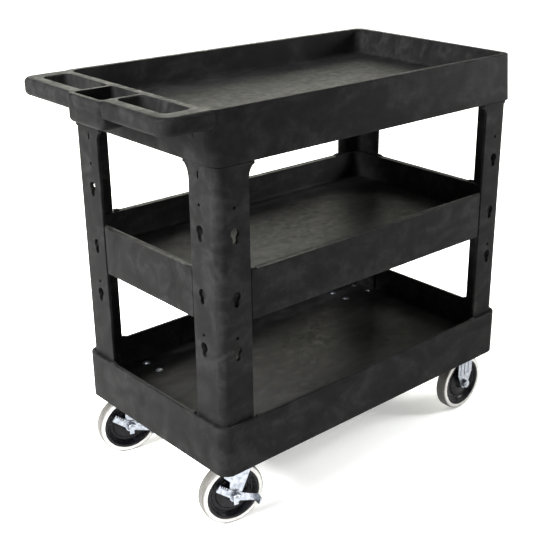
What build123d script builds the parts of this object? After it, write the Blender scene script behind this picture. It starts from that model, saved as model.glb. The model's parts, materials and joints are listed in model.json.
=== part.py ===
from build123d import *
import os

# Rolling utility cart with three moulded shelves. Millimetres, +Z up, floor at z = 0.
# The handle is at -X and the nose at +X. Shapes are drawn about the middle of the shelves
# and moved along X at the end, so that the origin is under the middle of the whole cart.

# Heights above the floor
rim_z = 838.0
top_low_z = 741.0
tray_floor_z = 783.0
middle_rim_z = 539.0
middle_low_z = 443.0
middle_floor_z = 480.0
bottom_rim_z = 246.0
bottom_low_z = 144.0
bottom_floor_z = 180.0
floor_thick = 6.0

# Top shelf: the skirt leans out towards its lower edge
skirt_nose = 401.0
skirt_side = 231.0
skirt_end = 401.0
rim_nose = 394.0
rim_side = 227.0
rim_end = 411.0
skirt_corner = 24.0
rim_wide = 12.0
tray_lean = 6.0
tray_corner = 20.0
tray_foot = 8.0
rim_round = 2.5

# Handle, hand holes and the bin between them
bar_face = 498.0
bar_low_z = 806.0
handle_side = 228.0
handle_corner = 30.0
bar_round = 9.0
hole_outer = 469.0
hole_inner = 416.0
hole_near = 53.0
hole_far = 192.0
hole_corner = 11.0
bin_face = 502.0
bin_side = 54.0
bin_low_z = 786.0
bin_round = 11.0
bin_wall = 10.0
bin_floor = 4.0
bin_corner = 7.0
hole_edge = 3.0
screw_hole_y = 181.0
screw_hole_z = 790.0
screw_hole_radius = 3.5

# Legs: angle posts whose outer faces stand just inside the skirt
leg_x = 394.0
leg_y = 224.0
leg_thick = 6.0
leg_side = 70.0
leg_end = 80.0
nose_leg_end = 74.0
leg_corner = 18.0
flare = 12.0
flare_tall = 22.0
collar_out = 2.5
collar_tall = 5.0
collar_gap = 2.5
key_heights = (612.0, 493.0, 388.0)
key_round = 9.5
key_slot = 11.0
key_tall = 30.0
key_side = 36.0
key_end = 52.0
nose_key_end = 36.0
dowel_heights = (664.0, 418.0)
dowel_radius = 3.2
top_slot_z = 718.0
top_slot_tall = 14.0
top_slot_wide = 4.0
leg_edge = 1.5

# Middle and bottom shelves
panel_in = 1.0
panel_gap = 2.0
shelf_wall = 9.0
shelf_corner = 15.0
bottom_x = 402.5
bottom_y = 232.0
bottom_corner = 24.0
bottom_wall = 7.0
socket_deep = 2.0
socket_gap = 0.5
rib = 4.0
rib_deep = 16.0
rib_rows = (-90.0, 90.0)
rib_columns = (-240.0, 0.0, 240.0)
bottom_rib_rows = (-60.0, 60.0)
bottom_rib_columns = (-218.0, 0.0, 218.0)
bottom_rib_x = 220.0
bottom_rib_y = 110.0
block_long = 15.0
block_tall = 3.5
block_slope = 6.0
panel_corner = 2.0

# Casters
wheel_radius = 66.0
wheel_half = 13.5
core_radius = 55.5
hub_half = 15.5
bush_half = 16.7
bush_radius = 8.0
axle_radius = 5.0
running_gap = 0.05
fork_inner = 17.0
fork_thick = 2.5
fork_outer = fork_inner + fork_thick
trail = 30.0
swivel_angle = -13.0
swivel_x = -316.0
rigid_x = 336.0
swivel_y = 180.0
rigid_y = 183.0
mount_z = bottom_floor_z - floor_thick
plate_long = 104.0
plate_wide = 70.0
plate_thick = 3.0
plate_corner = 8.0
bolt_long = 79.0
bolt_wide = 47.0
bolt_radius = 4.0
bolt_hole = 4.3
crown_z = mount_z - 16.0
crown_radius = 33.0
crown_thick = 4.0
ball_radius = 2.5
ball_ring = 22.0
ball_gap = 2 * ball_radius + 0.5
fork_half = 26.0
fork_set = 10.0
kingpin_radius = 6.0
lever_thick = 2.5
lever_gap = 0.4
lever_hub = 12.5
lever_emboss = 0.8
pedal_deep = 20.0
pedal_wide = 15.0
pedal_thick = 3.5
pedal_tilt = 21.0
tooth_tilt = 38.0
tooth_start = (-28.6, 31.5)
tooth_step = (4.3, -3.4)
tooth_count = 4
notch_wide = 2.8
notch_deep = 9.0
rigid_half = 24.0
rigid_tip = 11.5
rigid_shoulder = 26.0
swivel_tip = 12.0
swell_outline = ((-6, 30), (-22, 46), (-22, 58), (-6, 74), (30, 74), (30, 46), (22, 30))
swell_ribs = (-4.0, 10.0, 24.0)
swell_rib_low = 44.0
rib_raise = 1.2
rib_width = 5.0
axle_nut_across = 17.0
axle_nut_tall = 8.0
axle_head_tall = 6.4
bolt_head_radius = 9.0
bolt_head_tall = 1.5
bolt_dome_tall = 2.2
nut_across = 13.0
nut_tall = 6.5
cup_radius = 30.0
kingpin_head = 11.0
kingpin_head_tall = 4.0
kingpin_gap = 0.4
press_gap = 0.02
seat_deep = 1.0

leg_foot_z = bottom_floor_z - socket_deep
centre_x = (bin_face - bottom_x) / 2
os.makedirs("parts", exist_ok=True)


def save(name, shape):
    """Moves a shape to the cart's own origin and writes it."""
    export_step(Pos(centre_x, 0, 0) * shape, f"parts/{name}.step")


def slab(x0, x1, y0, y1, z0, z1, corner):
    """Upright block with rounded vertical edges."""
    plan = RectangleRounded(x1 - x0, y1 - y0, corner)
    return Pos((x0 + x1) / 2, (y0 + y1) / 2, z0) * extrude(plan, z1 - z0)


def leaning(low, high, z0, z1, corner):
    """Block between two rounded rectangles (x0, x1, y0, y1), one above the other."""
    plans = []
    for (x0, x1, y0, y1), z in ((low, z0), (high, z1)):
        plans.append(Pos((x0 + x1) / 2, (y0 + y1) / 2, z) * RectangleRounded(x1 - x0, y1 - y0, corner))
    return loft(plans, ruled=True)


def flat_edges(shape, z):
    """Edges that lie at one height."""
    return shape.edges().filter_by_position(Axis.Z, z - 0.01, z + 0.01)


def block(x0, x1, y0, y1, z0, z1):
    return Pos((x0 + x1) / 2, (y0 + y1) / 2, (z0 + z1) / 2) * Box(x1 - x0, y1 - y0, z1 - z0)


def bar_y(radius, y0, y1):
    """Round bar along Y."""
    return Pos(0, (y0 + y1) / 2, 0) * Rot(90, 0, 0) * Cylinder(radius, abs(y1 - y0))


def underside_ribs(half_x, half_y, z0, z1, rows, columns):
    """Stiffening ribs under a shelf floor: rows run along X, columns along Y."""
    ribs = [block(-half_x, half_x, y - rib / 2, y + rib / 2, z0, z1) for y in rows]
    ribs += [block(x - rib / 2, x + rib / 2, -half_y, half_y, z0, z1) for x in columns]
    return ribs


def top_shelf():
    low = (-skirt_end, skirt_nose, -skirt_side, skirt_side)
    high = (-rim_end, rim_nose, -rim_side, rim_side)
    body = leaning(low, high, top_low_z, rim_z, skirt_corner)
    body = fillet(flat_edges(body, rim_z), rim_round)
    handle = slab(-bar_face, -leg_x + 20, -handle_side, handle_side, bar_low_z, rim_z, handle_corner)
    handle = fillet(flat_edges(handle, rim_z) + flat_edges(handle, bar_low_z), bar_round)
    bin_box = slab(-bin_face, -leg_x + 2, -bin_side, bin_side, bin_low_z, rim_z, bin_round)
    bin_box = fillet(flat_edges(bin_box, rim_z), rim_round)
    bin_box = fillet(flat_edges(bin_box, bin_low_z), bin_round - 1)
    shelf = body + handle + bin_box
    tray_high = (rim_wide - rim_end, rim_nose - rim_wide, rim_wide - rim_side, rim_side - rim_wide)
    x0, x1, y0, y1 = tray_high
    tray_low = (x0 + tray_lean, x1 - tray_lean, y0 + tray_lean, y1 - tray_lean)
    tray = leaning(tray_low, tray_high, tray_floor_z, rim_z, tray_corner)
    tray = fillet(flat_edges(tray, tray_floor_z), tray_foot)
    shelf -= tray
    pocket_z = tray_floor_z - floor_thick
    pocket_x = leg_x + 0.5
    pocket_y = leg_y + 0.5
    shelf -= slab(-pocket_x, pocket_x, -pocket_y, pocket_y, top_low_z, pocket_z, leg_corner)
    for side in (-1, 1):
        y0, y1 = sorted((side * hole_near, side * hole_far))
        shelf -= slab(-hole_outer, -hole_inner, y0, y1, bin_low_z, rim_z, hole_corner)
        screw = Pos(-rim_end, side * screw_hole_y, screw_hole_z) * Rot(0, 90, 0)
        shelf -= screw * Cylinder(screw_hole_radius, rim_wide)
    shelf -= bin_pocket()
    openings = flat_edges(shelf, rim_z).filter_by_position(Axis.X, -hole_outer - 1, -hole_inner + 1)
    openings = openings.filter_by(lambda edge: hole_near - 1 < abs(edge.center().Y) < hole_far + 1)
    shelf = fillet(openings, hole_edge)
    ribs_x = leg_x - leg_side - flare
    return shelf + underside_ribs(ribs_x, leg_y - 2, pocket_z - rib_deep, pocket_z, rib_rows, rib_columns)


def bin_pocket():
    inside = bin_side - bin_wall
    base_z = bin_low_z + bin_floor
    pocket = slab(bin_wall - bin_face, -hole_inner + 3, -inside, inside, base_z, rim_z, bin_corner)
    return fillet(flat_edges(pocket, base_z), bin_corner - 1)


def rim_block(along, across, z):
    """Raised block on a rim: flat beside the leg, sloping down to the rim at its other end."""
    flat = block_long - block_slope
    top = z + block_tall
    low = z - 1
    profile = Polyline((0, low), (0, top), (-flat, top), (-block_long, z), (-block_long, low), close=True)
    plane = Plane(origin=(along, across, 0), x_dir=(1, 0, 0), z_dir=(0, -1, 0))
    return extrude(plane * make_face(profile), bottom_wall - 1)


def end_edge(flange):
    """Distance from the middle to the gap beside the end flange of a leg."""
    return leg_y - flange - panel_gap


def rim_blocks(half_x, half_y, z):
    """One block beside each edge of each leg, on the four sides of a shelf."""
    side_edge = leg_x - leg_side - panel_gap
    side_block = rim_block(side_edge, bottom_wall - half_y, z)
    nose, handle = [Rot(0, 0, 90) * rim_block(end_edge(flange), bottom_wall - half_x, z)
                    for flange in (nose_leg_end, leg_end)]
    return corner_copies(side_block, side_block) + corner_copies(nose, handle)


def middle_shelf():
    # The corners step in by the legs' thickness, so that the legs wrap them
    in_x = leg_x - leg_thick
    in_y = leg_y - leg_thick
    face_x = leg_x - panel_in
    face_y = leg_y - panel_in
    side_edge = leg_x - leg_side - panel_gap
    nose_edge, handle_edge = end_edge(nose_leg_end), end_edge(leg_end)
    shelf = slab(-in_x, in_x, -in_y, in_y, middle_low_z, middle_rim_z, shelf_corner)
    shelf += slab(-side_edge, side_edge, -face_y, face_y, middle_low_z, middle_rim_z, panel_corner)
    shelf += slab(0, face_x, -nose_edge, nose_edge, middle_low_z, middle_rim_z, panel_corner)
    shelf += slab(-face_x, 0, -handle_edge, handle_edge, middle_low_z, middle_rim_z, panel_corner)
    tray_x = in_x - shelf_wall
    tray_y = in_y - shelf_wall
    high = (-tray_x, tray_x, -tray_y, tray_y)
    low = (tray_lean - tray_x, tray_x - tray_lean, tray_lean - tray_y, tray_y - tray_lean)
    tray = leaning(low, high, middle_floor_z, middle_rim_z, tray_corner)
    shelf -= fillet(flat_edges(tray, middle_floor_z), tray_foot)
    pocket_z = middle_floor_z - floor_thick
    shelf -= slab(-tray_x, tray_x, -tray_y, tray_y, middle_low_z, pocket_z, shelf_corner)
    shelf += underside_ribs(tray_x + 1, tray_y + 1, pocket_z - rib_deep, pocket_z, rib_rows, rib_columns)
    return shelf + rim_blocks(face_x, face_y, middle_rim_z)


def bottom_shelf():
    shelf = slab(-bottom_x, bottom_x, -bottom_y, bottom_y, bottom_low_z, bottom_rim_z, bottom_corner)
    shelf = fillet(flat_edges(shelf, bottom_rim_z), rim_round)
    in_x = bottom_x - bottom_wall
    in_y = bottom_y - bottom_wall
    shelf -= slab(-in_x, in_x, -in_y, in_y, bottom_floor_z, bottom_rim_z, bottom_corner - bottom_wall)
    shelf -= slab(-in_x, in_x, -in_y, in_y, bottom_low_z, mount_z, bottom_corner - bottom_wall)
    rows, columns = bottom_rib_rows, bottom_rib_columns
    shelf += underside_ribs(bottom_rib_x, bottom_rib_y, mount_z - rib_deep, mount_z, rows, columns)
    shelf += rim_blocks(bottom_x, bottom_y, bottom_rim_z)
    for corner in corner_copies(leg_socket(nose_leg_end), leg_socket(leg_end)):
        shelf -= corner
    seat = Cylinder(bolt_head_radius + socket_gap, 2 * seat_deep)
    for x, y in caster_centres():
        for dx, dy in bolt_places():
            shelf -= Pos(x + dx, y + dy, bottom_floor_z) * seat
            shelf -= Pos(x + dx, y + dy, mount_z) * Cylinder(bolt_hole, 4 * floor_thick)
    return shelf


def leg_socket(end):
    """Shallow recess that the foot of a leg stands in."""
    plan = angle_plan(socket_gap, leg_side + socket_gap, end + socket_gap, leg_thick + 2 * socket_gap)
    return extrude(Pos(0, 0, leg_foot_z) * plan, 2 * socket_deep)


def corner_copies(nose, handle):
    """Two pieces drawn in one quarter: the nose pair, and the handle pair mirrored to -X."""
    behind = mirror(handle, Plane.YZ)
    return [nose, mirror(nose, Plane.XZ), behind, mirror(behind, Plane.XZ)]


def caster_centres():
    return [(x, side * y) for x, y in ((swivel_x, swivel_y), (rigid_x, rigid_y)) for side in (-1, 1)]


def bolt_places():
    return [(sx * bolt_long / 2, sy * bolt_wide / 2) for sx in (-1, 1) for sy in (-1, 1)]


def angle_plan(out, side, end, thick):
    """Plan of an angle post in the +X +Y quarter, with a rounded outer corner."""
    x, y = leg_x + out, leg_y + out
    x0, y0 = leg_x - side, leg_y - end
    x_in, y_in = x - thick, y - thick
    path = Polyline((x, y), (x0, y), (x0, y_in), (x_in, y_in), (x_in, y0), (x, y0), close=True)
    plan = make_face(path)
    corner = plan.vertices().sort_by_distance((x, y))[0]
    plan = fillet(corner, leg_corner + out)
    inner = plan.vertices().sort_by_distance((x_in, y_in))[0]
    plan = fillet(inner, leg_corner + out - thick)
    free = [v for v in plan.vertices() if abs(v.X - x0) < 0.01 or abs(v.Y - y0) < 0.01]
    return fillet(free, leg_edge)


def keyhole_plan():
    """Round opening with a narrower slot below it, drawn about the round's centre."""
    slot_low = key_round - key_tall + key_slot / 2
    slot = Pos(0, slot_low / 2) * Rectangle(key_slot, -slot_low)
    return Circle(key_round) + slot + Pos(0, slot_low) * Circle(key_slot / 2)


def leg(end, key):
    """Angle post of the +X +Y quarter. key is the distance of the end keyholes from the corner."""
    plan = angle_plan(0, leg_side, end, leg_thick)
    post = extrude(Pos(0, 0, leg_foot_z) * plan, tray_floor_z - floor_thick - leg_foot_z)
    # Capital: the free edges sweep out under the top shelf, below a thin collar
    collar_top = top_low_z - collar_gap
    collar = angle_plan(collar_out, leg_side + flare, end + flare, leg_thick + collar_out)
    post += extrude(Pos(0, 0, collar_top - collar_tall) * collar, collar_tall)
    top, foot = collar_top - collar_tall, collar_top - collar_tall - flare_tall
    sweep = make_face([Line((0, foot), (0, top)), Line((0, top), (flare, top)),
                       ThreePointArc((flare, top), (0.3 * flare, top - 0.42 * flare_tall), (0, foot))])
    side_plane = Plane((leg_x - leg_side, leg_y, 0), x_dir=(-1, 0, 0), z_dir=(0, 1, 0))
    end_plane = Plane((leg_x, leg_y - end, 0), x_dir=(0, -1, 0), z_dir=(-1, 0, 0))
    post += extrude(side_plane * sweep, -leg_thick)
    post += extrude(end_plane * sweep, leg_thick)
    side_cut = Plane((leg_x - key_side, leg_y, 0), x_dir=(-1, 0, 0), z_dir=(0, 1, 0))
    end_cut = Plane((leg_x, leg_y - key, 0), x_dir=(0, -1, 0), z_dir=(-1, 0, 0))
    for plane in (side_cut, end_cut):
        for z in key_heights:
            keyhole = Pos(0, z + key_tall / 2 - key_round) * keyhole_plan()
            post -= extrude(plane * keyhole, leg_thick + 1, both=True)
        for z in dowel_heights:
            post -= extrude(plane * Pos(0, z) * Circle(dowel_radius), leg_thick + 1, both=True)
    slot = Pos(0, top_slot_z) * SlotOverall(top_slot_tall, top_slot_wide, rotation=90)
    return post - extrude(end_cut * slot, leg_thick + 1, both=True)


def wheel_ring(profile):
    """Ring from a closed half profile of (distance along the axle, radius) points."""
    ring = revolve(make_face(Polyline(*profile, close=True)), Axis.X)
    return Rot(0, 0, 90) * ring


def wheel_core():
    rim_half, web_half, groove = wheel_half - 0.5, 5.0, 3.0
    half = [(hub_half, bush_radius + 0.02), (hub_half, 13.5), (web_half + 3, 16.5), (web_half + 1.5, 34),
            (web_half + 1.5 - groove, 36), (web_half + 1.5 - groove, 42), (web_half + 2, core_radius - 11),
            (rim_half, core_radius - 7), (rim_half, core_radius)]
    return wheel_ring(half + [(-x, r) for x, r in reversed(half)])


def wheel_tread():
    shoulder = 4.0
    half = [(wheel_half, core_radius + 0.02), (wheel_half, wheel_radius - shoulder),
            (wheel_half - 1.2, wheel_radius - 1.6), (wheel_half - shoulder, wheel_radius - 0.3),
            (wheel_half - 2 * shoulder, wheel_radius)]
    return wheel_ring(half + [(-x, r) for x, r in reversed(half)])


def wheel_bush():
    return bar_y(bush_radius, -bush_half, bush_half) - bar_y(axle_radius + running_gap, -30, 30)


def hexagon(across, y0, y1):
    """Hexagonal prism along Y."""
    prism = extrude(RegularPolygon(across / 2, 6, major_radius=False), abs(y1 - y0))
    return Pos(0, max(y0, y1), 0) * Rot(90, 0, 0) * prism


def axle_bolt(nut_face):
    """Bolt with its head at +Y, long enough for a nut that starts at nut_face."""
    head = hexagon(axle_nut_across, fork_outer, fork_outer + axle_head_tall)
    return head + bar_y(axle_radius, nut_face - axle_nut_tall - 1.5, fork_outer + 1)


def axle_nut(nut_face):
    hole = bar_y(axle_radius + press_gap, nut_face - 2 * axle_nut_tall, nut_face + 1)
    return hexagon(axle_nut_across, nut_face - axle_nut_tall, nut_face) - hole


def fork_leg(tip, shoulder_x, half_top, low_z, top_z):
    """Outline of one fork cheek, in X and Z about the axle, tapering below low_z to a round tip."""
    shoulder = Pos(shoulder_x, (low_z + top_z) / 2) * Rectangle(2 * half_top, top_z - low_z)
    return make_hull(Circle(tip).edges() + shoulder.edges())


def pressed_ribs(places, low_z, high_z):
    """Upright ribs pressed outwards in both cheeks."""
    slot = Pos(0, (low_z + high_z) / 2) * SlotOverall(high_z - low_z, rib_width, rotation=90)
    plan = Sketch() + [Pos(x, 0) * slot for x in places]
    rib = extrude(Plane.XZ * plan, rib_raise)
    return [Pos(0, -fork_outer, 0) * rib, Pos(0, fork_outer + rib_raise, 0) * rib]


def fork_cheeks(outline):
    """The two cheeks on either side of the wheel, with a raised rib and the axle hole."""
    cheek = extrude(Plane.XZ * outline, fork_thick)
    pair = Pos(0, -fork_inner, 0) * cheek + Pos(0, fork_outer, 0) * cheek
    return pair - bar_y(axle_radius + 0.1, -40, 40)


def plate():
    half_x, half_y = plate_long / 2, plate_wide / 2
    base = slab(-half_x, half_x, -half_y, half_y, mount_z - plate_thick, mount_z, plate_corner)
    for dx, dy in bolt_places():
        base -= Pos(dx, dy, mount_z) * Cylinder(bolt_hole, 4 * plate_thick)
    return base


def rigid_fork():
    top = mount_z - plate_thick - wheel_radius
    cheeks = fork_cheeks(fork_leg(rigid_tip, 0, rigid_half, rigid_shoulder, top))
    cheeks += pressed_ribs((-2.6 * rib_width, 0, 2.6 * rib_width), rigid_shoulder - 4, top - 12)
    return Pos(0, 0, wheel_radius) * cheeks + plate()


def swivel_plate():
    """Top plate with the pressed cup that holds the upper bearing race."""
    cup_low = crown_z + crown_thick + ball_gap
    cup_top = mount_z - plate_thick
    cup = Pos(0, 0, (cup_low + cup_top) / 2) * Cylinder(cup_radius, cup_top - cup_low)
    return plate() + cup - Pos(0, 0, mount_z) * Cylinder(kingpin_radius + press_gap, 40)


def kingpin():
    """Rivet through the plate and the fork crown, closed by a head below the crown."""
    head_top = crown_z - kingpin_gap
    head_low = head_top - kingpin_head_tall
    pin = Pos(0, 0, (head_low + mount_z) / 2) * Cylinder(kingpin_radius, mount_z - head_low)
    return pin + Pos(0, 0, (head_low + head_top) / 2) * Cylinder(kingpin_head, kingpin_head_tall)


def ball_race():
    """Ring of bearing balls, drawn as the ring they fill, resting in the fork crown."""
    section = Pos(ball_ring, crown_z + crown_thick + ball_radius) * Circle(ball_radius)
    return revolve(Plane.XZ * section, Axis.Z)


def swivel_fork():
    top = crown_z + crown_thick
    rise = top - wheel_radius
    shoulder_x = trail - fork_set
    taper = fork_leg(swivel_tip, shoulder_x, fork_half, rise - 20, rise)
    cheeks = fork_cheeks(taper + make_face(Polyline(*swell_outline, close=True)))
    cheeks += pressed_ribs(swell_ribs, swell_rib_low, rise - 8)
    cheeks = Pos(-trail, 0, wheel_radius) * cheeks
    back, front = -fork_set - fork_half, fork_half - fork_set
    bridge = block(back, front, -fork_outer, fork_outer, top - fork_thick, top)
    crown = Pos(0, 0, (crown_z + top) / 2) * Cylinder(crown_radius, top - crown_z)
    fork = cheeks + bridge + crown
    return fork - Pos(0, 0, crown_z) * Cylinder(kingpin_radius + running_gap, 60)


def lever_arm(reach, rise, wide, root, tilt):
    """Flat arm from the hub to a tilted square end."""
    end = Pos(reach, rise) * Rot(0, 0, -tilt) * Rectangle(wide, wide)
    return make_hull(Circle(root).edges() + end.edges())


def brake_lever():
    """Stamped three-armed lever on the axle: a toothed arm, a pedal arm and a stop below."""
    outer = -fork_outer - lever_gap
    toothed = lever_arm(-30.5, 23.5, 15, 8, tooth_tilt)
    pedal_arm = lever_arm(40, -15, 13, 9, pedal_tilt)
    outline = Circle(lever_hub) + toothed + pedal_arm + Pos(1, -15) * Rectangle(10, 10)
    for step in range(tooth_count):
        x, z = tooth_start[0] + tooth_step[0] * step, tooth_start[1] + tooth_step[1] * step
        outline -= Pos(x, z) * Rot(0, 0, -tooth_tilt) * Rectangle(notch_wide, notch_deep)
    lever = Pos(0, outer, 0) * extrude(Plane.XZ * outline, lever_thick)
    emboss = Pos(26, -9.5) * Rot(0, 0, -pedal_tilt) * SlotOverall(18, 6)
    lever += Pos(0, outer - lever_thick, 0) * extrude(Plane.XZ * emboss, lever_emboss)
    pedal = Box(pedal_thick, pedal_deep, pedal_wide)
    pedal = fillet(pedal.edges().filter_by(Axis.X).group_by(Axis.Y)[0], pedal_wide / 4)
    lever += Pos(45, outer - pedal_deep / 2, -17) * Rot(0, pedal_tilt, 0) * pedal
    return lever - bar_y(axle_radius + running_gap, -60, 0)


def caster_bolts():
    """Round-headed bolts, heads on the bottom shelf's floor."""
    up = (Align.CENTER, Align.CENTER, Align.MIN)
    seat_z = bottom_floor_z - seat_deep
    head = Pos(0, 0, seat_z) * Cylinder(bolt_head_radius, bolt_head_tall, align=up)
    dome = Cone(bolt_head_radius - 1, bolt_head_radius / 2, bolt_dome_tall, align=up)
    dome = Pos(0, 0, seat_z + bolt_head_tall) * dome
    tip = mount_z - plate_thick - nut_tall - 1.5
    shank = Pos(0, 0, tip) * Cylinder(bolt_radius, seat_z + 1 - tip, align=up)
    return at_casters(head + dome + shank)


def caster_nuts():
    low = mount_z - plate_thick - nut_tall
    nut = Pos(0, 0, low) * extrude(RegularPolygon(nut_across / 2, 6, major_radius=False), nut_tall)
    return at_casters(nut - Pos(0, 0, low) * Cylinder(bolt_radius + press_gap, 4 * nut_tall))


def at_casters(piece):
    """One copy of a piece at each bolt place of each caster."""
    copies = []
    for x, y in caster_centres():
        for dx, dy in bolt_places():
            copies.append(Pos(x + dx, y + dy, 0) * piece)
    return Compound(copies)


save("top_shelf", top_shelf())
save("middle_shelf", middle_shelf())
save("bottom_shelf", bottom_shelf())

leg_names = ("leg_nose_left", "leg_nose_right", "leg_handle_left", "leg_handle_right")
for name, post in zip(leg_names, corner_copies(leg(nose_leg_end, nose_key_end), leg(leg_end, key_end))):
    save(name, post)

save("caster_bolts", caster_bolts())
save("caster_nuts", caster_nuts())

for hand, side in (("left", 1), ("right", -1)):
    # Rigid caster at the nose
    place = Pos(rigid_x, side * rigid_y, 0)
    on_axle = place * Pos(0, 0, wheel_radius)
    save(f"nose_fork_{hand}", place * rigid_fork())
    save(f"nose_axle_bolt_{hand}", on_axle * axle_bolt(-fork_outer))
    save(f"nose_axle_nut_{hand}", on_axle * axle_nut(-fork_outer))
    save(f"nose_wheel_core_{hand}", on_axle * wheel_core())
    save(f"nose_wheel_tread_{hand}", on_axle * wheel_tread())
    save(f"nose_wheel_bush_{hand}", on_axle * wheel_bush())

    # Swivel caster with a brake under the handle
    place = Pos(swivel_x, side * swivel_y, 0)
    turned = place * Rot(0, 0, swivel_angle)
    on_axle = turned * Pos(-trail, 0, wheel_radius)
    nut_face = -fork_outer - lever_thick - 2 * lever_gap
    save(f"swivel_plate_{hand}", place * swivel_plate())
    save(f"kingpin_{hand}", place * kingpin())
    save(f"ball_race_{hand}", turned * ball_race())
    save(f"swivel_fork_{hand}", turned * swivel_fork())
    save(f"swivel_axle_bolt_{hand}", on_axle * axle_bolt(nut_face))
    save(f"swivel_axle_nut_{hand}", on_axle * axle_nut(nut_face))
    save(f"swivel_wheel_core_{hand}", on_axle * wheel_core())
    save(f"swivel_wheel_tread_{hand}", on_axle * wheel_tread())
    save(f"swivel_wheel_bush_{hand}", on_axle * wheel_bush())
    save(f"brake_lever_{hand}", on_axle * brake_lever())
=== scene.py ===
import bpy
import bmesh
import json
import math
import numpy as np
from mathutils import Matrix, Vector


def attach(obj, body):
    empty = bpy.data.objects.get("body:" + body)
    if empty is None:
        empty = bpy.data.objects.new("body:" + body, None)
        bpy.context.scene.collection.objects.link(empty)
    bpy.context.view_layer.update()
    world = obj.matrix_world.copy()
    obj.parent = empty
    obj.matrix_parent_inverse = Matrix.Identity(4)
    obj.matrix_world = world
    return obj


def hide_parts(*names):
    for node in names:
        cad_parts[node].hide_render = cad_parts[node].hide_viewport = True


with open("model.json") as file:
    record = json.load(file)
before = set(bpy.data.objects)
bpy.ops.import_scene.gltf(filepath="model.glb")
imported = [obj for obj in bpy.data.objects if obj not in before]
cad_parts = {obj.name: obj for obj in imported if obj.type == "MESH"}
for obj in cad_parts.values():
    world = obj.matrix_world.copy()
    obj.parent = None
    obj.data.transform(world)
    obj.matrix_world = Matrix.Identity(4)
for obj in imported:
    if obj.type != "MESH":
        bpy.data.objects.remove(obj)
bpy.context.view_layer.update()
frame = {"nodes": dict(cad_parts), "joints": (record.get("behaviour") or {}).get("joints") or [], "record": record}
mm = 0.001
hands = ("left", "right")
upwards = (0.0, 0.0, 1.0)


# sRGB hex to linear: c/12.92 below 0.04045, else ((c + 0.055)/1.055)^2.4
def linear(hexText):
    c = np.array([int(hexText[i:i + 2], 16) for i in (1, 3, 5)]) / 255
    lin = np.where(c <= 0.04045, c / 12.92, ((c + 0.055) / 1.055) ** 2.4)
    return (*lin.tolist(), 1.0)


# one node with its settings; an input is a value or another node's socket,
# and stops are the (place, hex) pairs of a colour ramp, at least two
def addNode(tree, kind, inputs=None, stops=(), **settings):
    made = tree.nodes.new(kind)
    for name, value in settings.items():
        setattr(made, name, value)
    for name, value in (inputs or {}).items():
        if isinstance(value, bpy.types.NodeSocket):
            tree.links.new(value, made.inputs[name])
        else:
            made.inputs[name].default_value = value
    for i, (place, hexText) in enumerate(stops):
        elements = made.color_ramp.elements
        element = elements[i] if i < 2 else elements.new(place)
        element.position = place
        element.color = linear(hexText)
    return made


def newMaterial(name):
    made = bpy.data.materials.new(name)
    made.use_nodes = True
    made.node_tree.nodes.clear()
    return made, made.node_tree


# a pattern's scale on Object coordinates, which are in metres, from a real size in mm
def perMetre(sizeMm):
    return 1 / (sizeMm * mm)


# Structural foam polyethylene, low-pressure moulded: matte charcoal, with cloudy swirls where the
# foam flowed along the mould and a pebbled skin. The real pebble is finer, and is drawn coarser to show.
foamLook = {
    "swirlMm": 70.0, "swirlStretch": 0.55,
    "cloudMm": 16.0, "cloudShare": 0.38, "cloudLow": 0.3, "cloudHigh": 0.7,
    "tones": [(0.34, "#0d0d0d"), (0.5, "#141414"), (0.68, "#212121")],
    "pebbleMm": 2.2, "pebbleDeepMm": 0.12, "pebbleStrength": 0.5,
    "roughLow": 0.46, "roughHigh": 0.66, "ior": 1.5, "specular": 0.02,
}


def foamPolyethylene(name, look):
    made, tree = newMaterial(name)
    place = addNode(tree, "ShaderNodeTexCoord").outputs["Object"]
    # swirls run along the mould's length, so the pattern is stretched along X
    along = addNode(tree, "ShaderNodeMapping", {
        "Vector": place, "Scale": (look["swirlStretch"], 1.0, 1.0)}).outputs[0]
    swirl = addNode(tree, "ShaderNodeTexNoise", {
        "Vector": along, "Scale": perMetre(look["swirlMm"]),
        "Detail": 5.0, "Roughness": 0.62, "Distortion": 1.4}).outputs["Fac"]
    cloud = addNode(tree, "ShaderNodeTexNoise", {
        "Vector": place, "Scale": perMetre(look["cloudMm"]),
        "Detail": 4.0, "Roughness": 0.6, "Distortion": 0.5}).outputs["Fac"]
    pebble = addNode(tree, "ShaderNodeTexNoise", {
        "Vector": place, "Scale": perMetre(look["pebbleMm"]),
        "Detail": 2.0, "Roughness": 0.55}).outputs["Fac"]
    mixed = addNode(tree, "ShaderNodeMix", {
        "Factor": look["cloudShare"], "A": swirl, "B": cloud}, data_type="FLOAT").outputs[0]
    colour = addNode(tree, "ShaderNodeValToRGB", {"Fac": mixed}, look["tones"]).outputs["Color"]
    rough = addNode(tree, "ShaderNodeMapRange", {
        "Value": cloud, "From Min": look["cloudLow"], "From Max": look["cloudHigh"],
        "To Min": look["roughLow"], "To Max": look["roughHigh"]}).outputs[0]
    bump = addNode(tree, "ShaderNodeBump", {
        "Height": pebble, "Strength": look["pebbleStrength"],
        "Distance": look["pebbleDeepMm"] * mm}).outputs[0]
    shader = addNode(tree, "ShaderNodeBsdfPrincipled", {
        "Base Color": colour, "Roughness": rough, "Normal": bump, "IOR": look["ior"],
        "Specular IOR Level": look["specular"]})
    addNode(tree, "ShaderNodeOutputMaterial", {"Surface": shader.outputs[0]})
    return made


# Bright zinc plate on stamped steel: cool white metal, slightly cloudy, with soft upright rolling marks,
# drawn coarser than the real ones to show in close views.
zincLook = {
    "cloudMm": 7.0, "cloudLow": 0.3, "cloudHigh": 0.7, "dark": "#6d7178", "pale": "#9da1a8",
    "marksMm": 0.9, "marksStretch": 0.12, "marksDeepMm": 0.05, "marksStrength": 0.1,
    "roughLow": 0.24, "roughHigh": 0.42,
}


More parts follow.
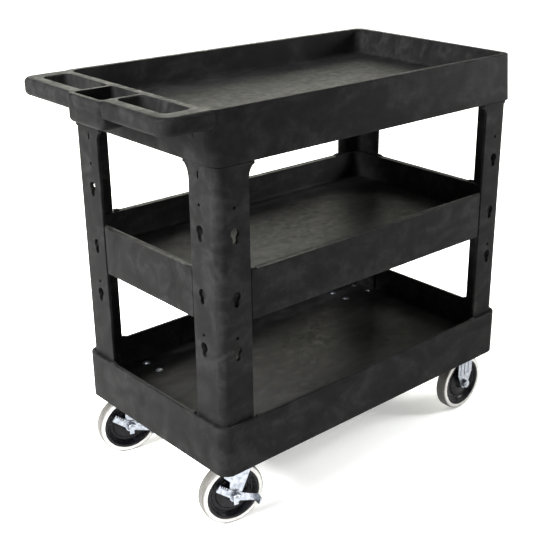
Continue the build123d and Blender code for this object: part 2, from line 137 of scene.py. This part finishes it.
def zincPlate(name, look):
    made, tree = newMaterial(name)
    place = addNode(tree, "ShaderNodeTexCoord").outputs["Object"]
    cloud = addNode(tree, "ShaderNodeTexNoise", {
        "Vector": place, "Scale": perMetre(look["cloudMm"]), "Detail": 4.0, "Roughness": 0.6}).outputs["Fac"]
    drawn = addNode(tree, "ShaderNodeMapping", {
        "Vector": place, "Scale": (1.0, 1.0, look["marksStretch"])}).outputs[0]
    marks = addNode(tree, "ShaderNodeTexNoise", {
        "Vector": drawn, "Scale": perMetre(look["marksMm"]), "Detail": 2.0}).outputs["Fac"]
    tones = [(look["cloudLow"], look["dark"]), (look["cloudHigh"], look["pale"])]
    colour = addNode(tree, "ShaderNodeValToRGB", {"Fac": cloud}, tones).outputs["Color"]
    rough = addNode(tree, "ShaderNodeMapRange", {
        "Value": cloud, "From Min": look["cloudLow"], "From Max": look["cloudHigh"],
        "To Min": look["roughHigh"], "To Max": look["roughLow"]}).outputs[0]
    bump = addNode(tree, "ShaderNodeBump", {
        "Height": marks, "Strength": look["marksStrength"], "Distance": look["marksDeepMm"] * mm}).outputs[0]
    shader = addNode(tree, "ShaderNodeBsdfPrincipled", {
        "Base Color": colour, "Roughness": rough, "Normal": bump, "Metallic": 1.0})
    addNode(tree, "ShaderNodeOutputMaterial", {"Surface": shader.outputs[0]})
    return made


# Thermoplastic rubber tyre, moulded: pale on its sides; its running band is painted a dark grey that is partly
# dust and wear and partly painted shade, where the band faces down and away from the light.
# Its grain is drawn coarser than the real one to show in close views.
# The tyre's mesh attribute for wear and painted shade is 0 on the sides and 1 on the running band.
rubberLook = {
    "dustMm": 9.0, "dustLow": 0.32, "dustHigh": 0.6, "dark": "#a6a4a1", "pale": "#bcbab7",
    # the running band's two tones: dust and wear, darkened further as painted shade
    "wornShadedDark": "#32302d", "wornShadedPale": "#413f3b", "grainMm": 1.4, "grainDeepMm": 0.08, "grainStrength": 0.3,
    "rough": 0.55, "ior": 1.5,
}


def thermoplasticRubber(name, look):
    made, tree = newMaterial(name)
    place = addNode(tree, "ShaderNodeTexCoord").outputs["Object"]
    dust = addNode(tree, "ShaderNodeTexNoise", {
        "Vector": place, "Scale": perMetre(look["dustMm"]), "Detail": 4.0, "Roughness": 0.6}).outputs["Fac"]
    grain = addNode(tree, "ShaderNodeTexNoise", {
        "Vector": place, "Scale": perMetre(look["grainMm"]), "Detail": 2.0}).outputs["Fac"]
    sideTones = [(look["dustLow"], look["dark"]), (look["dustHigh"], look["pale"])]
    # the running band's tones hold painted shade as well as wear
    wornShadedTones = [(look["dustLow"], look["wornShadedDark"]), (look["dustHigh"], look["wornShadedPale"])]
    fresh = addNode(tree, "ShaderNodeValToRGB", {"Fac": dust}, sideTones).outputs["Color"]
    wornAndShaded = addNode(tree, "ShaderNodeValToRGB", {"Fac": dust}, wornShadedTones).outputs["Color"]
    # 0 on the sides, 1 on the running band, which carries the painted shade
    wearAndShade = addNode(tree, "ShaderNodeAttribute", attribute_name="wearAndShade").outputs["Fac"]
    colour = addNode(tree, "ShaderNodeMixRGB", {"Fac": wearAndShade, "Color1": fresh, "Color2": wornAndShaded}).outputs[0]
    bump = addNode(tree, "ShaderNodeBump", {
        "Height": grain, "Strength": look["grainStrength"], "Distance": look["grainDeepMm"] * mm}).outputs[0]
    shader = addNode(tree, "ShaderNodeBsdfPrincipled", {
        "Base Color": colour, "Roughness": look["rough"], "Normal": bump, "IOR": look["ior"]})
    addNode(tree, "ShaderNodeOutputMaterial", {"Surface": shader.outputs[0]})
    return made


# Polypropylene wheel centre, moulded: near black with a satin skin, whose grain is drawn coarser
# than the real one to show in close views.
coreLook = {
    "cloudMm": 12.0, "cloudLow": 0.35, "cloudHigh": 0.65, "dark": "#060608", "pale": "#0d0d11",
    "grainMm": 0.9, "grainDeepMm": 0.05, "grainStrength": 0.2,
    "roughLow": 0.22, "roughHigh": 0.34, "ior": 1.49, "specular": 0.1,
}


def mouldedPolypropylene(name, look):
    made, tree = newMaterial(name)
    place = addNode(tree, "ShaderNodeTexCoord").outputs["Object"]
    cloud = addNode(tree, "ShaderNodeTexNoise", {
        "Vector": place, "Scale": perMetre(look["cloudMm"]), "Detail": 3.0}).outputs["Fac"]
    grain = addNode(tree, "ShaderNodeTexNoise", {
        "Vector": place, "Scale": perMetre(look["grainMm"]), "Detail": 2.0}).outputs["Fac"]
    tones = [(look["cloudLow"], look["dark"]), (look["cloudHigh"], look["pale"])]
    colour = addNode(tree, "ShaderNodeValToRGB", {"Fac": cloud}, tones).outputs["Color"]
    rough = addNode(tree, "ShaderNodeMapRange", {
        "Value": cloud, "From Min": look["cloudLow"], "From Max": look["cloudHigh"],
        "To Min": look["roughLow"], "To Max": look["roughHigh"]}).outputs[0]
    bump = addNode(tree, "ShaderNodeBump", {
        "Height": grain, "Strength": look["grainStrength"], "Distance": look["grainDeepMm"] * mm}).outputs[0]
    shader = addNode(tree, "ShaderNodeBsdfPrincipled", {
        "Base Color": colour, "Roughness": rough, "Normal": bump, "IOR": look["ior"],
        "Specular IOR Level": look["specular"]})
    addNode(tree, "ShaderNodeOutputMaterial", {"Surface": shader.outputs[0]})
    return made


finishes = {
    "foam_moulded_plastic": foamPolyethylene("foam polyethylene, moulded", foamLook),
    "zinc_plated_steel": zincPlate("zinc plated steel", zincLook),
    "grey_rubber": thermoplasticRubber("thermoplastic rubber, moulded", rubberLook),
    "black_wheel_plastic": mouldedPolypropylene("polypropylene, moulded", coreLook),
}
slotOf = {row["node"]: row["material_slot"] for row in frame["record"]["subparts"]}
bodyOf = {node: body for body, nodes in frame["record"]["behaviour"]["bodies"].items() for node in nodes}
for nodeName, cadObject in frame["nodes"].items():
    cadObject.data.materials.clear()
    cadObject.data.materials.append(finishes[slotOf[nodeName]])
print("materials:", len(finishes))


# a finished mesh becomes a piece that stands for a CAD node, with its body and its slot
def standFor(mesh, node):
    piece = bpy.data.objects.new(mesh.name, mesh)
    bpy.context.scene.collection.objects.link(piece)
    mesh.materials.append(finishes[slotOf[node]])
    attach(piece, bodyOf[node])
    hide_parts(node)
    return piece


# corners that agree to mergeDigits decimals of a metre are one point, faces within flatDegrees are one face,
# and edges that turn by more than sharpDegrees are rounded
softening = {"mergeDigits": 7, "flatDegrees": 0.6, "sharpDegrees": 32.0}


# merged copy of a CAD node, with its sharp edges rounded by a bevel of the given width in mm
def softened(node, name, width, segments):
    source = frame["nodes"][node].data
    co = np.zeros(len(source.vertices) * 3)
    source.vertices.foreach_get("co", co)
    corners = np.zeros(len(source.loops), int)
    source.loops.foreach_get("vertex_index", corners)
    rounded = np.round(co.reshape(-1, 3), softening["mergeDigits"])
    points, index = np.unique(rounded, axis=0, return_inverse=True)
    triangles = index.reshape(-1)[corners].reshape(-1, 3)
    a, b, c = triangles.T
    triangles = triangles[(a != b) & (b != c) & (a != c)]
    mesh = bpy.data.meshes.new(name)
    mesh.from_pydata(points.tolist(), [], triangles.tolist())
    work = bmesh.new()
    work.from_mesh(mesh)
    flat, sharp = (math.radians(softening[key]) for key in ("flatDegrees", "sharpDegrees"))
    bmesh.ops.dissolve_limit(work, angle_limit=flat, verts=work.verts[:], edges=work.edges[:])
    work.to_mesh(mesh)
    work.free()
    mesh.shade_smooth()
    mesh.set_sharp_from_angle(angle=sharp)
    rounding = standFor(mesh, node).modifiers.new("edge rounding", "BEVEL")
    rounding.width = width * mm
    rounding.segments = segments
    rounding.limit_method = "ANGLE"
    rounding.angle_limit = sharp
    rounding.harden_normals = True
    rounding.use_clamp_overlap = True


# shelves and legs, with the width of their rounded edges in mm
mouldings = {
    "segments": 3,
    "edges": {"top_shelf": 1.2, "middle_shelf": 1.5, "bottom_shelf": 1.5, "leg_handle_left": 1.2,
              "leg_handle_right": 1.2, "leg_nose_left": 1.2, "leg_nose_right": 1.2},
}
for nodeName, width in mouldings["edges"].items():
    softened(nodeName, f"{nodeName}_moulding", width, mouldings["segments"])
print("mouldings:", len(mouldings["edges"]))

# steel of the casters, with the width of its rounded edges in mm
pressedSteel = {
    "segments": 2,
    "edges": {"nose_fork": 0.7, "swivel_fork": 0.7, "swivel_plate": 0.6, "brake_lever": 0.5, "kingpin": 0.6},
}
for hand in hands:
    for part, width in pressedSteel["edges"].items():
        softened(f"{part}_{hand}", f"{part}_{hand}_steel", width, pressedSteel["segments"])
print("pressed steel:", len(hands) * len(pressedSteel["edges"]))


# closed outline with each corner replaced by the curve (1-s)^2 A + 2s(1-s) P + s^2 B, where A and B
# lie on the two sides at the rounding distance from the corner P, or nearly halfway along a short side
def roundCorners(outline, rounding, bits=5, shortShare=0.45):
    p = np.array(outline, float)
    back, ahead = np.roll(p, 1, axis=0) - p, np.roll(p, -1, axis=0) - p
    ends = []
    for side in (back, ahead):
        length = np.linalg.norm(side, axis=1, keepdims=True)
        ends.append(p + side / length * np.minimum(rounding, shortShare * length))
    s = np.linspace(0, 1, bits)[None, :, None]
    curve = (1 - s) ** 2 * ends[0][:, None] + 2 * s * (1 - s) * p[:, None] + s ** 2 * ends[1][:, None]
    return curve.reshape(-1, 2)


# closed outline (along, radius) carried round an axle: point(t, u) = centre + along(u) axle
# + radius(t, u) (cos t e1 + sin t e2); a hexagon limits the radius to across/2 / cos(angle off a flat)
def carriedRound(outline, centre, axle, steps, across=None):
    along, reach = np.array(outline, float).T
    axle = np.array(axle, float) / np.linalg.norm(axle)
    isUpright = abs(axle[2]) > 0.9
    e1 = np.array((1.0, 0.0, 0.0)) if isUpright else np.cross(axle, upwards)
    e1 = e1 / np.linalg.norm(e1)
    e2 = np.cross(axle, e1)
    t = 2 * np.pi * np.arange(steps) / steps
    radius = np.repeat(reach[None, :], steps, axis=0)
    if across:
        offFlat = (t + np.pi / 6) % (np.pi / 3) - np.pi / 6
        radius = np.minimum(radius, (across / 2 / np.cos(offFlat))[:, None])
    spoke = np.cos(t)[:, None] * e1 + np.sin(t)[:, None] * e2
    points = np.array(centre) + along[None, :, None] * axle + radius[:, :, None] * spoke[:, None, :]
    count = len(along)
    i, j = np.meshgrid(np.arange(steps), np.arange(count), indexing="ij")
    i2, j2 = (i + 1) % steps, (j + 1) % count
    quads = np.stack([i * count + j, i2 * count + j, i2 * count + j2, i * count + j2], axis=-1)
    return points.reshape(-1, 3), quads.reshape(-1, 4)


# several grids in one mesh, from mm to metres, with poles closed and faces turned outwards
def joined(name, grids, sharpDegrees=35.0, weldMm=0.001):
    starts = np.cumsum([0] + [len(points) for points, quads in grids])
    allPoints = np.concatenate([points for points, quads in grids]) * mm
    allQuads = np.concatenate([quads + start for (points, quads), start in zip(grids, starts)])
    mesh = bpy.data.meshes.new(name)
    mesh.from_pydata(allPoints.tolist(), [], allQuads.tolist())
    work = bmesh.new()
    work.from_mesh(mesh)
    bmesh.ops.remove_doubles(work, verts=work.verts[:], dist=weldMm * mm)
    bmesh.ops.recalc_face_normals(work, faces=work.faces[:])
    work.to_mesh(mesh)
    work.free()
    mesh.shade_smooth()
    mesh.set_sharp_from_angle(angle=math.radians(sharpDegrees))
    return mesh


# wheels, in mm: outlines are (along the axle, radius), mirrored about the wheel's middle
wheelShape = {
    "tread": [(13.5, 55.52), (13.5, 57.2), (12.9, 57.8), (12.9, 62.1), (11.6, 64.9), (8.5, 65.8),
              (4.0, 66.0)],
    "core": [(15.5, 8.02), (15.5, 12.6), (12.6, 14.2), (7.6, 16.4), (6.4, 33.6), (3.6, 35.6), (3.6, 41.6),
             (6.8, 44.4), (8.2, 47.2), (12.4, 49.4), (13.0, 51.0), (13.0, 55.5)],
    "bush": [(16.7, 5.05), (16.7, 7.4), (16.1, 8.0)],
    # the radii between which the tyre's wear and painted shade fade in
    "rounding": {"tread": 1.6, "core": 1.2, "bush": 0.3}, "wearAndShadeFrom": 61.2, "wearAndShadeTo": 64.6, "steps": 128,
}


# the share of wear and painted shade, (r - from) / (to - from) between 0 and 1, where r is the distance from the
# axle
def addWearAndShade(mesh, centre, axle):
    co = np.zeros(len(mesh.vertices) * 3)
    mesh.vertices.foreach_get("co", co)
    spoke = co.reshape(-1, 3) / mm - centre
    r = np.linalg.norm(np.cross(spoke, np.array(axle, float)), axis=1)
    low, high = wheelShape["wearAndShadeFrom"], wheelShape["wearAndShadeTo"]
    wearAndShade = mesh.attributes.new("wearAndShade", "FLOAT", "POINT")
    wearAndShade.data.foreach_set("value", np.clip((r - low) / (high - low), 0, 1))


spins = [joint for joint in frame["joints"] if "wheel_spin" in joint["name"]]
placeOf = {joint["name"]: np.array(joint["pos_m"]) / mm for joint in frame["joints"]}
for joint in spins:
    prefix, hand = joint["child"].rsplit("_", 1)
    centre = placeOf[joint["name"]]
    for part, rounding in wheelShape["rounding"].items():
        half = wheelShape[part]
        outline = roundCorners(half + [(-x, r) for x, r in reversed(half)], rounding)
        node = f"{prefix}_{part}_{hand}"
        grid = carriedRound(outline, centre, joint["axis"], wheelShape["steps"])
        mesh = joined(f"{node}_turned", [grid])
        if part == "tread":
            # the tread's running band gets its wear and painted shade
            addWearAndShade(mesh, centre, joint["axis"])
        standFor(mesh, node)
print("wheels:", len(spins))

# hexagon heads and nuts: shares of the width across flats and of the height, and the bore's room in mm
hexShape = {"faceShare": 0.475, "cornerShare": 0.585, "coneShare": 0.14, "boreRoom": 0.02}


# hexagon's outline with a cone at both ends: the radius starts under across/2 and passes the corners
def hexOutline(start, tall, across, bore):
    low, high = hexShape["faceShare"] * across, hexShape["cornerShare"] * across
    cone, end = hexShape["coneShare"] * tall, start + tall
    return [(start, bore), (start, low), (start + cone, high), (end - cone, high), (end, low), (end, bore)]


# axle bolts and nuts, in mm along the axle from the wheel's middle: the head is at the positive end,
# and the nut stands outside the fork or the brake lever
axleShape = {
    "across": 17.0, "headFrom": 19.5, "headTall": 6.4, "intoHead": 1.0, "shank": 5.0, "tipChamfer": 0.9,
    "nutFace": {"nose": -19.5, "swivel": -22.8}, "nutTall": 8.0, "pastNut": 1.5, "steps": 96,
}


def axleBoltAndNut(joint, shape):
    kind, hand = joint["child"].split("_")[0], joint["child"].rsplit("_", 1)[1]
    centre, axle, steps = placeOf[joint["name"]], joint["axis"], shape["steps"]
    shank, across = shape["shank"], shape["across"]
    nutEnd = shape["nutFace"][kind] - shape["nutTall"]
    tip, top, chamfer = nutEnd - shape["pastNut"], shape["headFrom"] + shape["intoHead"], shape["tipChamfer"]
    rod = [(tip, 0.0), (tip, shank - chamfer), (tip + chamfer, shank), (top, shank), (top, 0.0)]
    head = hexOutline(shape["headFrom"], shape["headTall"], across, 0.0)
    nut = hexOutline(nutEnd, shape["nutTall"], across, shank + hexShape["boreRoom"])
    boltNode, nutNode = f"{kind}_axle_bolt_{hand}", f"{kind}_axle_nut_{hand}"
    boltGrids = [carriedRound(rod, centre, axle, steps), carriedRound(head, centre, axle, steps, across)]
    standFor(joined(f"{boltNode}_turned", boltGrids), boltNode)
    standFor(joined(f"{nutNode}_turned", [carriedRound(nut, centre, axle, steps, across)]), nutNode)


for joint in spins:
    axleBoltAndNut(joint, axleShape)

# caster bolts, in mm: domed heads seated in the bottom shelf's floor, and their nuts under the caster plates;
# the dome is (above the seat, radius)
casterBolts = {
    "pitch": (79.0, 47.0), "seatZ": 179.0, "tipZ": 163.0, "shank": 4.0, "tipChamfer": 0.7,
    "dome": [(0.0, 9.0), (0.9, 9.0), (1.9, 7.9), (2.9, 5.7), (3.5, 3.0), (3.7, 0.0)],
    "nutLowZ": 164.5, "nutTall": 6.5, "nutAcross": 13.0, "steps": 48,
}


def casterBoltsAndNuts(shape):
    kinds = ("caster_swivel", "nose_wheel_spin")
    plates = [placeOf[f"{kind}_{hand}"] for kind in kinds for hand in hands]
    halfX, halfY = (pitch / 2 for pitch in shape["pitch"])
    places = [(x + sx * halfX, y + sy * halfY, 0.0) for x, y, z in plates for sx in (-1, 1) for sy in (-1, 1)]
    seat, tip, shank, chamfer = shape["seatZ"], shape["tipZ"], shape["shank"], shape["tipChamfer"]
    bolt = [(tip, 0.0), (tip, shank - chamfer), (tip + chamfer, shank), (seat, shank)]
    bolt += [(seat + above, radius) for above, radius in shape["dome"]]
    nut = hexOutline(shape["nutLowZ"], shape["nutTall"], shape["nutAcross"], shank + hexShape["boreRoom"])
    boltGrids = [carriedRound(bolt, place, upwards, shape["steps"]) for place in places]
    nutGrids = [carriedRound(nut, place, upwards, shape["steps"], shape["nutAcross"]) for place in places]
    standFor(joined("caster_bolts_turned", boltGrids), "caster_bolts")
    standFor(joined("caster_nuts_turned", nutGrids), "caster_nuts")
    return len(places)


casterBoltCount = casterBoltsAndNuts(casterBolts)
print("bolts with nuts:", len(spins) + casterBoltCount)

# ball races, in mm: the balls themselves, in a ring round the kingpin
raceShape = {
    "balls": 26, "ringMm": 22.0, "ballMm": 2.5, "middleZ": 164.5, "rings": 9, "steps": 16,
    "sharpDegrees": 60.0,
}


# ball(t, u) is a half circle carried round; ball k sits at the ring's angle 2 pi k / balls
def ballRace(hand, shape):
    pivotX, pivotY = placeOf[f"caster_swivel_{hand}"][:2]
    polar = np.linspace(0, np.pi, shape["rings"])
    ball = np.stack([-shape["ballMm"] * np.cos(polar), shape["ballMm"] * np.sin(polar)], axis=1)
    turn = 2 * np.pi * np.arange(shape["balls"]) / shape["balls"]
    ring = np.stack([pivotX + shape["ringMm"] * np.cos(turn), pivotY + shape["ringMm"] * np.sin(turn),
                     np.full(len(turn), shape["middleZ"])], axis=1)
    grids = [carriedRound(ball, place, upwards, shape["steps"]) for place in ring]
    standFor(joined(f"ball_race_{hand}_balls", grids, shape["sharpDegrees"]), f"ball_race_{hand}")


for hand in hands:
    ballRace(hand, raceShape)
print("ball races:", len(hands))

# studio paper: it lies flat and sweeps up into a far white wall, so no horizon shows,
# and a slight glow keeps the shadow under the cart light
paperLook = {
    "flatM": 22.0, "sweepM": 5.0, "wallM": 4.0, "bends": 13, "steps": 96,
    "tone": "#f8f8f7", "glow": 0.36, "rough": 0.95, "specular": 0.1,
}


# paper(t, u) = (r cos t, r sin t, z): r(u) and z(u) run out along the floor, up a quarter circle
# and up the wall
def sweptPaper(look):
    bend = np.linspace(0, np.pi / 2, look["bends"])
    wallRadius, wallTop = look["flatM"] + look["sweepM"], look["sweepM"] + look["wallM"]
    r = np.concatenate([[0.0], look["flatM"] + look["sweepM"] * np.sin(bend), [wallRadius]])
    z = np.concatenate([[0.0], look["sweepM"] * (1 - np.cos(bend)), [wallTop]])
    t = 2 * np.pi * np.arange(look["steps"]) / look["steps"]
    points = np.stack([np.outer(np.cos(t), r), np.outer(np.sin(t), r), np.tile(z, (len(t), 1))], axis=-1)
    count = len(r)
    i, j = np.meshgrid(np.arange(len(t)), np.arange(count - 1), indexing="ij")
    i2 = (i + 1) % len(t)
    quads = np.stack([i * count + j, i * count + j + 1, i2 * count + j + 1, i2 * count + j], axis=-1)
    mesh = bpy.data.meshes.new("studio_floor")
    mesh.from_pydata(points.reshape(-1, 3).tolist(), [], quads.reshape(-1, 4).tolist())
    mesh.shade_smooth()
    return mesh


def studioPaper(name, look):
    made, tree = newMaterial(name)
    tone = linear(look["tone"])
    shader = addNode(tree, "ShaderNodeBsdfPrincipled", {
        "Base Color": tone, "Roughness": look["rough"], "Specular IOR Level": look["specular"],
        "Emission Color": tone, "Emission Strength": look["glow"]})
    addNode(tree, "ShaderNodeOutputMaterial", {"Surface": shader.outputs[0]})
    return made


floorMesh = sweptPaper(paperLook)
floorMesh.materials.append(studioPaper("matte studio paper", paperLook))
floor = bpy.data.objects.new("studio_floor", floorMesh)
bpy.context.scene.collection.objects.link(floor)

# light: a strong box on the handle's side, a wide one behind for the sheen on the shelf floors, a small one
# towards the nose, and a wide ceiling light straight down that keeps the paper white all round
softboxes = {
    "keyLeft": {"at": (-2.7, 0.3, 2.1), "aim": (0.0, 0.0, 0.5), "wide": 1.1, "watts": 440.0,
                "spread": 180.0, "tint": "#ffffff"},
    "backSheen": {"at": (2.1, 2.95, 1.9), "aim": (0.0, 0.0, 0.5), "wide": 2.2, "watts": 142.0,
                  "spread": 180.0, "tint": "#fffff0"},
    "noseFill": {"at": (1.3, -0.9, 1.0), "aim": (0.45, -0.2, 0.6), "wide": 0.5, "watts": 5.4,
                 "spread": 56.0, "tint": "#ffffff"},
}
ceilingLight = {"strength": 2.4, "spread": 50.0}
roomLight = {"strength": 0.04, "tint": "#ffffff"}
for name, box in softboxes.items():
    light = bpy.data.lights.new(name, "AREA")
    light.energy = box["watts"]
    light.size = box["wide"]
    light.spread = math.radians(box["spread"])
    light.color = linear(box["tint"])[:3]
    lamp = bpy.data.objects.new(name, light)
    lamp.location = box["at"]
    lamp.rotation_euler = (Vector(box["aim"]) - Vector(box["at"])).to_track_quat("-Z", "Y").to_euler()
    lamp.visible_camera = False
    bpy.context.scene.collection.objects.link(lamp)
ceiling = bpy.data.lights.new("ceiling", "SUN")
ceiling.energy = ceilingLight["strength"]
ceiling.angle = math.radians(ceilingLight["spread"])
bpy.context.scene.collection.objects.link(bpy.data.objects.new("ceiling", ceiling))
world = bpy.data.worlds.new("studio")
bpy.context.scene.world = world
world.use_nodes = True
room = world.node_tree.nodes["Background"]
room.inputs["Color"].default_value = linear(roomLight["tint"])
room.inputs["Strength"].default_value = roomLight["strength"]
bpy.context.scene.view_settings.view_transform = "Standard"

# camera at the photograph's angle: its place in mm, its axes from azimuth, elevation and roll in degrees,
# and its focal length and optical centre in the photograph's pixels
shot = {
    "atMm": (-1337.65, -1524.2, 1219.1), "azimuth": 43.95, "elevation": 21.95, "roll": -0.56,
    "focalPx": 1024.24, "centrePx": (328.75, 268.82), "imagePx": (551, 552),
    "sensorMm": 36.0, "reachM": 100.0,
}
azimuth, elevation, roll = (math.radians(shot[key]) for key in ("azimuth", "elevation", "roll"))
level = math.cos(elevation)
forward = np.array([math.sin(azimuth) * level, math.cos(azimuth) * level, -math.sin(elevation)])
right = np.array([math.cos(azimuth), -math.sin(azimuth), 0.0])
down = np.cross(forward, right)
tilted = math.cos(roll) * right + math.sin(roll) * down
lowered = math.cos(roll) * down - math.sin(roll) * right
pose = np.eye(4)
pose[:3, :3] = np.stack([tilted, -lowered, -forward], axis=1)
pose[:3, 3] = np.array(shot["atMm"]) * mm
lens = bpy.data.cameras.new("photoCamera")
lens.sensor_fit = "HORIZONTAL"
lens.sensor_width = shot["sensorMm"]
pxWide, pxHigh = shot["imagePx"]
centreX, centreY = shot["centrePx"]
lens.lens = shot["focalPx"] * shot["sensorMm"] / pxWide
lens.shift_x = (pxWide / 2 - centreX) / pxWide
lens.shift_y = (centreY - pxHigh / 2) / pxWide
lens.clip_end = shot["reachM"]
camera = bpy.data.objects.new("photoCamera", lens)
camera.matrix_world = Matrix(pose.tolist())
bpy.context.scene.collection.objects.link(camera)
bpy.context.scene.camera = camera
print("studio: paper,", len(softboxes), "softboxes, the ceiling light and the camera")
